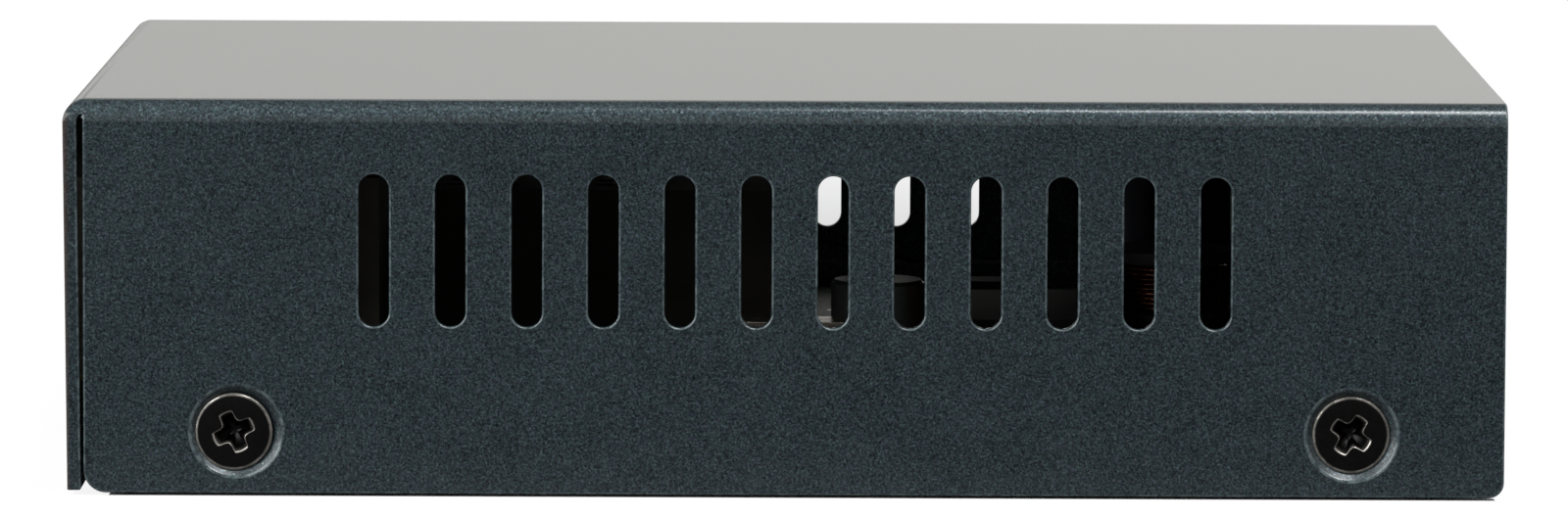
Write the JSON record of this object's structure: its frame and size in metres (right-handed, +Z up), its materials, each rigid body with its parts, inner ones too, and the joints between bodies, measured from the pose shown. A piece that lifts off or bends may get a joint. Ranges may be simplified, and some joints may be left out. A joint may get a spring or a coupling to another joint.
{
  "type": "fibre media converter",
  "caption": "Small folded-steel box with a shielded network socket, a fibre module slot and status lights in front, vent slots in both sides, and an option switch and power inlet at the rear.",
  "frame": {"origin": "centre of the underside, on the surface that the converter stands on", "axes": "-X is the front wall with the ports, +X the rear, +Y the side away from the pictured one, +Z up"},
  "size_m": [0.0944, 0.07, 0.026],
  "materials": {
    "painted_steel": "satin",
    "black_steel": "satin",
    "zinc_steel": "satin",
    "nickel_sheet": "satin",
    "board_laminate": "satin",
    "black_plastic": "matte",
    "gold_contact": "gloss",
    "spring_bronze": "satin",
    "green_light": "gloss",
    "amber_light": "gloss",
    "switch_red": "gloss",
    "lever_white": "satin",
    "chip_black": "matte",
    "capacitor_can": "satin",
    "capacitor_sleeve": "gloss",
    "ferrite": "matte",
    "copper_wire": "gloss",
    "ceramic_part": "satin"
  },
  "bodies": {
    "case": {"cover": "painted_steel", "base": "painted_steel", "circuit_board": "board_laminate", "cover_screw_front_near": "black_steel", "cover_screw_rear_near": "black_steel", "cover_screw_front_far": "black_steel", "cover_screw_rear_far": "black_steel", "standoff_front_near": "zinc_steel", "board_screw_front_near": "zinc_steel", "standoff_front_far": "zinc_steel", "board_screw_front_far": "zinc_steel", "standoff_rear_near": "zinc_steel", "board_screw_rear_near": "zinc_steel", "standoff_rear_far": "zinc_steel", "board_screw_rear_far": "zinc_steel", "jack_shield": "nickel_sheet", "jack_insert": "black_plastic", "jack_contacts": "gold_contact", "jack_light_left": "green_light", "jack_light_right": "amber_light", "fibre_cage": "nickel_sheet", "fibre_cage_springs": "spring_bronze", "fibre_host_connector": "black_plastic", "fibre_host_contacts": "gold_contact", "light_holder": "black_plastic", "status_light_1": "green_light", "status_light_2": "green_light", "status_light_3": "green_light", "status_light_4": "amber_light", "status_light_5": "green_light", "status_light_6": "green_light", "switch_body": "switch_red", "power_inlet_body": "black_plastic", "power_inlet_pin": "nickel_sheet", "power_inlet_spring": "nickel_sheet", "converter_chip": "chip_black", "line_chip": "chip_black", "power_chip": "chip_black", "memory_chip": "chip_black", "low_capacitor": "capacitor_can", "tall_capacitor": "capacitor_sleeve", "inductor_core": "ferrite", "inductor_winding": "copper_wire", "crystal": "nickel_sheet", "small_board_parts": "ceramic_part"},
    "lever_1": {"switch_lever_1": "lever_white"},
    "lever_2": {"switch_lever_2": "lever_white"},
    "lever_3": {"switch_lever_3": "lever_white"},
    "lever_4": {"switch_lever_4": "lever_white"}
  },
  "joints": [
    {"name": "lever_1_slide", "type": "slide", "parent": "case", "child": "lever_1", "axis": [0, 0, 1], "range_m": [0, 0.0015]},
    {"name": "lever_2_slide", "type": "slide", "parent": "case", "child": "lever_2", "axis": [0, 0, 1], "range_m": [0, 0.0015]},
    {"name": "lever_3_slide", "type": "slide", "parent": "case", "child": "lever_3", "axis": [0, 0, 1], "range_m": [0, 0.0015]},
    {"name": "lever_4_slide", "type": "slide", "parent": "case", "child": "lever_4", "axis": [0, 0, 1], "range_m": [0, 0.0015]}
  ]
}
